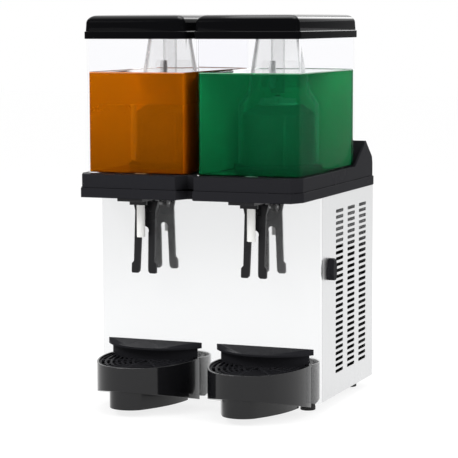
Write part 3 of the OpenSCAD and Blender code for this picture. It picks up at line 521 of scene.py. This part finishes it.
def dress(node, edge=0.0, segments=3, sharp=34.0, look=None):
    """Stands in for a node with a smooth-shaded copy whose edges are rounded by edge"""
    mesh = merged_copy(node)
    smooth_by_angle(mesh, sharp)
    if edge > 0:
        temp = bpy.data.objects.new(f"{node}_temp", mesh)
        bpy.context.scene.collection.objects.link(temp)
        mod = temp.modifiers.new("round", "BEVEL")
        mod.width = edge
        mod.segments = segments
        mod.limit_method = "ANGLE"
        mod.angle_limit = math.radians(sharp)
        mod.miter_outer = "MITER_ARC"
        mod.harden_normals = True
        mesh = baked(temp)
        bpy.data.objects.remove(temp)
    mesh.name = f"{node}_dressed"
    return new_piece(f"{node}_dressed", mesh, BODY_OF[node], SLOT_OF[node], look and finish(look), (node,))


def rounded_loop(w, d, r, centre, z, steps):
    """Points round a rectangle with round corners, counter-clockwise seen from above"""
    points = []
    r = max(r, 1e-5)
    for k, (sx, sy) in enumerate(((1, 1), (-1, 1), (-1, -1), (1, -1))):
        for i in range(steps + 1):
            a = math.radians(90 * (k + i / steps))
            x = centre[0] + sx * (w / 2 - r) + r * math.cos(a)
            y = centre[1] + sy * (d / 2 - r) + r * math.sin(a)
            points.append(Vector((x, y, z)))
    return points


def rounded_outline(corners, z, steps):
    """Points round a polygon of (x, y, radius) corners, which may turn in as well as out"""
    points = []
    for i, (x, y, r) in enumerate(corners):
        here = Vector((x, y))
        before = (Vector(corners[i - 1][:2]) - here).normalized()
        after = (Vector(corners[(i + 1) % len(corners)][:2]) - here).normalized()
        half = before.angle(after) / 2
        centre = here + (before + after).normalized() * (r / math.sin(half))
        first = here + before * (r / math.tan(half)) - centre
        last = here + after * (r / math.tan(half)) - centre
        turn = math.atan2(first.x * last.y - first.y * last.x, first.dot(last))
        for k in range(steps + 1):
            spot = centre + Matrix.Rotation(turn * k / steps, 2) @ first
            points.append(Vector((spot.x, spot.y, z)))
    return points


def loft(name, loops, ring=False):
    """Quads between loops of equal count, with the end loops closed or, in a ring, joined to each other"""
    bm = bmesh.new()
    rows = [[bm.verts.new(p) for p in loop] for loop in loops]
    n = len(rows[0])
    for a, b in zip(rows, rows[1:] + rows[:1] if ring else rows[1:]):
        for i in range(n):
            bm.faces.new((a[i], a[(i + 1) % n], b[(i + 1) % n], b[i]))
    if not ring:
        bm.faces.new(tuple(reversed(rows[0])))
        bm.faces.new(tuple(rows[-1]))
    bmesh.ops.remove_doubles(bm, verts=bm.verts, dist=1e-7)
    bmesh.ops.recalc_face_normals(bm, faces=bm.faces)
    mesh = bpy.data.meshes.new(name)
    bm.to_mesh(mesh)
    bm.free()
    return mesh


# Operators

class DISPENSER_OT_cabinet(bpy.types.Operator):
    """Steel panels, base pan, feet, gland and knob"""
    bl_idname = "dispenser.cabinet"
    bl_label = "Cabinet"

    def execute(self, context):
        for node in ("front_panel", "side_panel_left", "side_panel_right", "back_panel", "base_pan"):
            dress(node)
        dress("feet", edge=1.0 * MM)
        dress("cord_gland", edge=0.6 * MM, segments=2)
        dress("knob", edge=0.9 * MM, sharp=28.0)
        return {"FINISHED"}


class DISPENSER_OT_deck(bpy.types.Operator):
    """Black deck in two mouldings"""
    bl_idname = "dispenser.deck"
    bl_label = "Deck"

    def execute(self, context):
        dress("deck_base", edge=1.2 * MM, sharp=20.0)
        dress("deck_tray", edge=1.4 * MM, sharp=20.0)
        return {"FINISHED"}


class DISPENSER_OT_tanks(bpy.types.Operator):
    """Clear tanks: walls, floor and the collar round the cooling column in one moulding"""
    bl_idname = "dispenser.tanks"
    bl_label = "Tanks"

    def execute(self, context):
        steps, soft = 12, 0.5 * MM
        fillet, fillet_mid = 2 * MM, 0.6 * MM
        foot, foot_mid = 1.5 * MM, 0.4 * MM
        for side in SIDES:
            lo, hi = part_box(f"tank_{side}")
            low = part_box(f"tank_floor_{side}")[0].z
            collar_lo, collar_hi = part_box(f"tank_collar_{side}")
            c = (lo + hi) / 2
            w, d = hi.x - lo.x, hi.y - lo.y
            floor, wall = low + FLOOR, lo.z - low
            collar = (collar_hi.x - collar_lo.x) / 2
            hole, brim = collar - wall, collar_hi.z

            def upright(inset, z):
                return rounded_loop(w - 2 * inset, d - 2 * inset, TANK_CORNER - inset, c, z, steps)

            def circle(r, z):
                return rounded_loop(2 * r, 2 * r, r, c, z, steps)

            mesh = loft(f"tank_{side}_moulding", [
                upright(soft, low), upright(0, low + soft), upright(0, hi.z - soft), upright(soft, hi.z),
                upright(wall - soft, hi.z), upright(wall, hi.z - soft), upright(wall, floor + fillet),
                upright(wall + fillet_mid, floor + fillet_mid), upright(wall + fillet, floor),
                circle(collar + foot, floor), circle(collar + foot_mid, floor + foot_mid),
                circle(collar, floor + foot), circle(collar, brim - soft), circle(collar - soft, brim),
                circle(hole + soft, brim), circle(hole, brim - soft),
                circle(hole, low + soft), circle(hole + soft, low),
            ], ring=True)
            smooth_by_angle(mesh)
            new_piece(
                f"tank_{side}_moulding", mesh, f"tank_{side}", "clear_tank",
                replaces=(f"tank_{side}", f"tank_floor_{side}", f"tank_collar_{side}"))
        return {"FINISHED"}


class DISPENSER_OT_drinks(bpy.types.Operator):
    """Drink in each tank, with a raised edge where it wets the walls, and its cloudy depth"""
    bl_idname = "dispenser.drinks"
    bl_label = "Drinks"

    def execute(self, context):
        s = sizes()
        steps, bottom_edge, below_surface = 8, MM, 0.6 * MM
        behind_skin = 3 * MM
        wall = TANK_WALL + s.drink_gap
        for side, inward, drink in zip(SIDES, (1, -1), ("orange", "green")):
            lo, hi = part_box(f"tank_{side}")
            c = (lo + hi) / 2
            w, d = (hi.x - lo.x) - 2 * wall, (hi.y - lo.y) - 2 * wall
            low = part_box(f"tank_floor_{side}")[0].z + FLOOR + s.drink_gap

            def level(inset, z):
                return rounded_loop(w - 2 * inset, d - 2 * inset, TANK_CORNER - wall - inset, c, z, steps)

            mesh = loft(f"drink_{side}", [
                level(bottom_edge, low), level(0, low + bottom_edge),
                level(0, s.drink_level - below_surface)])
            smooth_by_angle(mesh)
            new_piece(f"drink_{side}", mesh, f"tank_{side}", "clear_tank", finish(f"{drink}_drink"))
            mesh = loft(f"drink_{side}_surface", [
                level(inset * MM, s.drink_level + rise * MM)
                for inset, rise in ((0.0, -0.5), (0.0, 1.2), (0.5, 0.5), (1.5, 0.12), (3.0, 0.0))])
            smooth_by_angle(mesh)
            new_piece(f"drink_{side}_surface", mesh, f"tank_{side}", "clear_tank", finish(f"{drink}_surface"))
            self.depth(
                side, inward, c, w / 2 - behind_skin, d / 2 - behind_skin, low + MM, s.drink_level - MM,
                f"{drink}_pulp")
        return {"FINISHED"}

    def depth(self, side, inward, c, half_w, half_d, low, high, look):
        """Fills the drink behind the column and along the wall next to the other tank"""
        bank, slab = 20 * MM, 12 * MM
        crisp, soft, bend = 0.2 * MM, 4 * MM, 30 * MM
        corners = [
            (half_w, -half_d, crisp), (half_w, half_d, soft), (-half_w, half_d, soft), (-half_w, bank, bend),
            (half_w - slab, bank, bend), (half_w - MM, -half_d, crisp),
        ]
        outline = [(c.x + inward * x, c.y + y, r) for x, y, r in corners]
        mesh = loft(f"drink_{side}_depth", [rounded_outline(outline, z, 6) for z in (low, high)])
        smooth_by_angle(mesh)
        new_piece(f"drink_{side}_depth", mesh, f"tank_{side}", "clear_tank", finish(look))


class DISPENSER_OT_lids(bpy.types.Operator):
    """Black lids with a stepped rim, round upper edges and a slightly crowned top"""
    bl_idname = "dispenser.lids"
    bl_label = "Lids"

    def execute(self, context):
        s = sizes()
        steps, arc_steps = 10, 9
        corner, ledge, draft, rim_height = 12 * MM, 2 * MM, 0.6 * MM, 11.5 * MM
        for side in SIDES:
            lo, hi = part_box(f"lid_{side}")
            c = (lo + hi) / 2
            w, d = hi.x - lo.x, hi.y - lo.y
            tank_lo, tank_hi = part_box(f"tank_{side}")
            tw, td = tank_hi.x - tank_lo.x, tank_hi.y - tank_lo.y
            edge, top, rim_top = s.lid_edge, hi.z - s.lid_crown, lo.z + rim_height

            def loop(inset, z, r):
                return rounded_loop(w - 2 * inset, d - 2 * inset, r, c, z, steps)

            def inner(grow, z, r):
                return rounded_loop(tw + 2 * grow, td + 2 * grow, r, c, z, steps)

            loops = [
                inner(-30 * MM, hi.z - 4.2 * MM, 2 * MM), inner(-14 * MM, hi.z - 4.2 * MM, 3 * MM),
                inner(-6 * MM, hi.z - 9 * MM, 5 * MM), inner(-3 * MM, lo.z + 9 * MM, 6 * MM),
                inner(-3 * MM, lo.z + 7.5 * MM, 6 * MM), inner(0.3 * MM, lo.z + 7.5 * MM, 9.3 * MM),
                inner(0.3 * MM, lo.z + 0.3 * MM, 9.3 * MM), inner(0.6 * MM, lo.z, 9.6 * MM),
            ]
            for inset, z in ((0.7, 0.0), (0.25, 0.2), (0.0, 0.8)):
                loops.append(loop(inset * MM, lo.z + z * MM, corner - inset * MM))
            for inset, z in ((0.0, -0.9), (0.25, -0.3), (0.8, 0.0), (1.7, 0.15), (2.0, 0.5)):
                loops.append(loop(inset * MM, rim_top + z * MM, corner - inset * MM))
            for k in range(arc_steps + 1):
                a = math.radians(90 * k / arc_steps)
                inset = ledge + draft + edge * (1 - math.cos(a))
                turn = max(corner - ledge - 0.3 * edge * math.sin(a), MM)
                loops.append(loop(inset, top - edge + edge * math.sin(a), turn))
            for inset, rise in ((30, 0.4), (45, 0.7), (62, 0.95), (75, 1.0)):
                loops.append(loop(inset * MM, top + rise * s.lid_crown, 6 * MM))
            mesh = loft(f"lid_{side}_moulding", loops)
            smooth_by_angle(mesh, 50)
            new_piece(
                f"lid_{side}_moulding", mesh, f"lid_{side}", "black_gloss", finish("lid_black"),
                replaces=(f"lid_{side}",))
        return {"FINISHED"}


class DISPENSER_OT_columns(bpy.types.Operator):
    """Evaporator columns, seals, hoods, impellers and their drives"""
    bl_idname = "dispenser.columns"
    bl_label = "Cooling columns"

    def execute(self, context):
        for side in SIDES:
            dress(f"evaporator_{side}", edge=1.0 * MM, sharp=30.0)
            dress(f"tank_seal_{side}", edge=0.5 * MM, segments=2, sharp=30.0)
            dress(f"mixer_hood_{side}", sharp=40.0)
            dress(f"impeller_{side}", edge=0.4 * MM, segments=2, sharp=40.0)
            dress(f"stirrer_motor_{side}", edge=0.8 * MM, segments=2, sharp=40.0)
            dress(f"drive_rotor_{side}", edge=0.5 * MM, segments=2, sharp=40.0)
        return {"FINISHED"}


class DISPENSER_OT_taps(bpy.types.Operator):
    """Spouts, plates, brackets, levers, pins and springs"""
    bl_idname = "dispenser.taps"
    bl_label = "Taps"

    def execute(self, context):
        for side in SIDES:
            dress(f"spout_{side}", edge=0.6 * MM, sharp=40.0)
            dress(f"tap_plate_{side}", edge=0.8 * MM, sharp=40.0, look="black_tap")
            dress(f"tap_bracket_{side}", edge=0.5 * MM, segments=2, sharp=40.0)
            dress(f"lever_{side}", edge=0.9 * MM, sharp=30.0)
            dress(f"lever_pin_{side}", edge=0.4 * MM, segments=2, sharp=40.0)
            dress(f"lever_spring_{side}", sharp=70.0)
        return {"FINISHED"}


class DISPENSER_OT_trays(bpy.types.Operator):
    """Drip trays: bowls, ring grilles and raised rests"""
    bl_idname = "dispenser.trays"
    bl_label = "Drip trays"

    def execute(self, context):
        for side in SIDES:
            dress(f"drip_bowl_{side}", edge=0.5 * MM, look="tray_black")
            dress(f"drip_grille_{side}", edge=0.6 * MM, segments=2, sharp=40.0)
            dress(f"drip_rest_{side}", edge=1.2 * MM)
        return {"FINISHED"}


class DISPENSER_OT_cooling_unit(bpy.types.Operator):
    """Compressor, condenser, fan and thermostat behind the slots"""
    bl_idname = "dispenser.cooling_unit"
    bl_label = "Cooling unit"

    def execute(self, context):
        dress("compressor", edge=1.0 * MM, segments=2, sharp=40.0)
        for node in ("compressor_mounts", "fan_motor", "fan_rotor", "thermostat"):
            dress(node, sharp=40.0)
        for node in ("condenser", "fan_shroud"):
            dress(node, sharp=40.0, look="compressor_paint")
        return {"FINISHED"}


class DISPENSER_OT_fasteners(bpy.types.Operator):
    """Screws along the rear panel's upright edges"""
    bl_idname = "dispenser.fasteners"
    bl_label = "Fasteners"

    def execute(self, context):
        s = sizes()
        from_side, from_end = 7 * MM, 15 * MM
        lo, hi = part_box("back_panel")
        tree = screw_tree()
        mesh = bpy.data.meshes.new("rear_screws_base")
        temp = bpy.data.objects.new("rear_screws_temp", mesh)
        context.scene.collection.objects.link(temp)
        mod = temp.modifiers.new("screws", "NODES")
        mod.node_group = tree
        values = {
            "Width": (hi.x - lo.x) - 2 * from_side, "Height": (hi.z - lo.z) - 2 * from_end,
            "Rows": s.screw_rows, "Head": s.screw_head, "Finish": finish("pin_steel"),
            "Place": ((lo.x + hi.x) / 2, hi.y, (lo.z + hi.z) / 2),
        }
        for item in tree.interface.items_tree:
            if item.in_out == "INPUT" and item.name in values:
                mod[item.identifier] = values[item.name]
        made = baked(temp)
        bpy.data.objects.remove(temp)
        made.name = "rear_screws"
        smooth_by_angle(made)
        new_piece("rear_screws", made, "cabinet", "pin_steel")
        return {"FINISHED"}


def screw_tree():
    """Pan heads with a cross recess on a grid of two columns, looking back along Y"""
    tree = bpy.data.node_groups.new("rear_screws", "GeometryNodeTree")
    top_share, height_share, recess = 0.62, 0.45, ((0.9, 0.2, 0.5), (0.2, 0.9, 0.5))
    for label, kind in (
            ("Width", "NodeSocketFloat"), ("Height", "NodeSocketFloat"), ("Rows", "NodeSocketInt"),
            ("Head", "NodeSocketFloat"), ("Place", "NodeSocketVector"), ("Finish", "NodeSocketMaterial")):
        tree.interface.new_socket(label, in_out="INPUT", socket_type=kind)
    tree.interface.new_socket("Geometry", in_out="OUTPUT", socket_type="NodeSocketGeometry")
    n, link = tree.nodes, tree.links
    gin, gout = n.new("NodeGroupInput"), n.new("NodeGroupOutput")
    grid = n.new("GeometryNodeMeshGrid")
    grid.inputs["Vertices X"].default_value = 2
    link.new(gin.outputs["Width"], grid.inputs["Size X"])
    link.new(gin.outputs["Height"], grid.inputs["Size Y"])
    link.new(gin.outputs["Rows"], grid.inputs["Vertices Y"])
    head = n.new("GeometryNodeMeshCone")
    head.inputs["Vertices"].default_value = 24
    head.inputs["Side Segments"].default_value = 3
    head.inputs["Fill Segments"].default_value = 2
    tall = arithmetic(n, link, "MULTIPLY", gin.outputs["Head"], height_share)
    link.new(gin.outputs["Head"], head.inputs["Radius Bottom"])
    link.new(arithmetic(n, link, "MULTIPLY", gin.outputs["Head"], top_share), head.inputs["Radius Top"])
    link.new(tall, head.inputs["Depth"])
    cut = n.new("GeometryNodeMeshBoolean")
    cut.operation = "DIFFERENCE"
    link.new(head.outputs["Mesh"], cut.inputs["Mesh 1"])
    for shares in recess:
        size = n.new("ShaderNodeVectorMath")
        size.operation = "SCALE"
        size.inputs[0].default_value = shares
        link.new(gin.outputs["Head"], size.inputs["Scale"])
        bar = n.new("GeometryNodeMeshCube")
        link.new(size.outputs[0], bar.inputs["Size"])
        lift = n.new("GeometryNodeTransform")
        up = n.new("ShaderNodeCombineXYZ")
        link.new(tall, up.inputs["Z"])
        link.new(bar.outputs["Mesh"], lift.inputs["Geometry"])
        link.new(up.outputs[0], lift.inputs["Translation"])
        link.new(lift.outputs[0], cut.inputs["Mesh 2"])
    spread = n.new("GeometryNodeInstanceOnPoints")
    link.new(grid.outputs["Mesh"], spread.inputs["Points"])
    link.new(cut.outputs["Mesh"], spread.inputs["Instance"])
    turn = n.new("GeometryNodeTransform")
    turn.inputs["Rotation"].default_value = (math.radians(-90), 0, 0)
    link.new(spread.outputs[0], turn.inputs["Geometry"])
    link.new(gin.outputs["Place"], turn.inputs["Translation"])
    real = n.new("GeometryNodeRealizeInstances")
    link.new(turn.outputs[0], real.inputs[0])
    paint = n.new("GeometryNodeSetMaterial")
    link.new(real.outputs[0], paint.inputs["Geometry"])
    link.new(gin.outputs["Finish"], paint.inputs["Material"])
    link.new(paint.outputs[0], gout.inputs[0])
    return tree


class DISPENSER_OT_stage(bpy.types.Operator):
    """Pale floor, soft lamps, white surroundings and the camera"""
    bl_idname = "dispenser.stage"
    bl_label = "Stage"

    def execute(self, context):
        scene = context.scene
        scene.view_settings.view_transform = "Standard"
        self.floor(scene)
        self.world(scene)
        self.lamps(scene)
        self.camera(scene)
        return {"FINISHED"}

    def floor(self, scene):
        half = 12.0
        mesh = bpy.data.meshes.new("floor")
        mesh.from_pydata(
            [(-half, -half, 0), (half, -half, 0), (half, half, 0), (-half, half, 0)], [], [(0, 1, 2, 3)])
        floor = bpy.data.objects.new("floor", mesh)
        scene.collection.objects.link(floor)
        mat, nodes, link, shader = blank_material("floor_paper")
        shader.inputs["Base Color"].default_value = (0.95, 0.95, 0.95, 1)
        shader.inputs["Roughness"].default_value = 0.6
        shader.inputs["Specular IOR Level"].default_value = 0.1
        glow = nodes.new("ShaderNodeEmission")
        glow.inputs["Color"].default_value = (1, 1, 1, 1)
        glow.inputs["Strength"].default_value = 1.08
        share = self.seen_share(nodes, link, 0.75)
        mix_shaders(nodes, link, share, shader.outputs[0], glow.outputs[0], nodes["Material Output"])
        mesh.materials.append(mat)

    def seen_share(self, nodes, link, share):
        """share for rays that look at a surface, straight, in a gloss or through glass, and 0 for the rest"""
        path = nodes.new("ShaderNodeLightPath")
        seen = path.outputs["Is Camera Ray"]
        for label in ("Is Glossy Ray", "Is Transmission Ray"):
            seen = arithmetic(nodes, link, "MAXIMUM", seen, path.outputs[label])
        return arithmetic(nodes, link, "MULTIPLY", seen, share)

    def world(self, scene):
        world = bpy.data.worlds.new("studio")
        scene.world = world
        world.use_nodes = True
        nodes, link = world.node_tree.nodes, world.node_tree.links
        light = nodes["Background"]
        light.inputs["Color"].default_value = (1, 1, 1, 1)
        light.inputs["Strength"].default_value = 0.75
        seen = nodes.new("ShaderNodeBackground")
        seen.inputs["Color"].default_value = (1, 1, 1, 1)
        seen.inputs["Strength"].default_value = 1.0
        share = self.seen_share(nodes, link, 1.0)
        mix_shaders(nodes, link, share, light.outputs[0], seen.outputs[0], nodes["World Output"])

    def lamps(self, scene):
        target = Vector((0, 0, 0.3))
        for name, place, size, power in (
                ("key_box", (-1.4, -1.8, 2.0), (0.9, 0.9), 34.0),
                ("side_box", (1.9, -0.9, 1.5), (0.6, 1.2), 12.0),
                ("top_box", (0.0, 0.2, 2.4), (1.4, 1.4), 16.0),
                ("rear_box", (0.6, 2.2, 1.4), (1.2, 0.8), 10.0)):
            data = bpy.data.lights.new(name, "AREA")
            data.shape = "RECTANGLE"
            data.size, data.size_y = size
            data.energy = power
            lamp = bpy.data.objects.new(name, data)
            scene.collection.objects.link(lamp)
            lamp.location = place
            lamp.rotation_euler = (target - Vector(place)).to_track_quat("-Z", "Y").to_euler()

    def camera(self, scene):
        focal_pixels, photo_pixels = 1948.669, 458
        yaw, pitch, roll = 21.477, 6.158, -0.171
        place = (1.143556, -2.906196, 0.613519)
        data = bpy.data.cameras.new("camera")
        data.sensor_width = 36.0
        data.lens = focal_pixels / photo_pixels * data.sensor_width
        data.clip_end = 100.0
        cam = bpy.data.objects.new("camera", data)
        scene.collection.objects.link(cam)
        turn = (Matrix.Rotation(math.radians(yaw), 4, "Z") @ Matrix.Rotation(math.radians(90 - pitch), 4, "X")
                @ Matrix.Rotation(math.radians(roll), 4, "Z"))
        cam.matrix_world = Matrix.Translation(place) @ turn
        scene.camera = cam


class DISPENSER_PT_panel(bpy.types.Panel):
    """Lists the builders and their values"""
    bl_idname = "DISPENSER_PT_panel"
    bl_label = "Dispenser"
    bl_space_type = "VIEW_3D"
    bl_region_type = "UI"
    bl_category = "Dispenser"

    def draw(self, context):
        layout = self.layout
        for group in (context.scene.dispenser_sizes, context.scene.dispenser_colours):
            for name in group.__annotations__:
                layout.prop(group, name)
        for op in OPERATORS:
            layout.operator(op.bl_idname)


OPERATORS = (
    DISPENSER_OT_stage, DISPENSER_OT_cabinet, DISPENSER_OT_deck, DISPENSER_OT_columns, DISPENSER_OT_tanks,
    DISPENSER_OT_drinks, DISPENSER_OT_lids, DISPENSER_OT_taps, DISPENSER_OT_trays, DISPENSER_OT_cooling_unit,
    DISPENSER_OT_fasteners,
)
CLASSES = (DispenserSizes, DispenserColours, *OPERATORS, DISPENSER_PT_panel)


def register():
    for cls in CLASSES:
        bpy.utils.register_class(cls)
    bpy.types.Scene.dispenser_sizes = PointerProperty(type=DispenserSizes)
    bpy.types.Scene.dispenser_colours = PointerProperty(type=DispenserColours)


def unregister():
    del bpy.types.Scene.dispenser_colours
    del bpy.types.Scene.dispenser_sizes
    for cls in reversed(CLASSES):
        bpy.utils.unregister_class(cls)


def main():
    register()
    for op in OPERATORS:
        group, name = op.bl_idname.split(".")
        getattr(getattr(bpy.ops, group), name)()


if __name__ == "__main__":
    main()
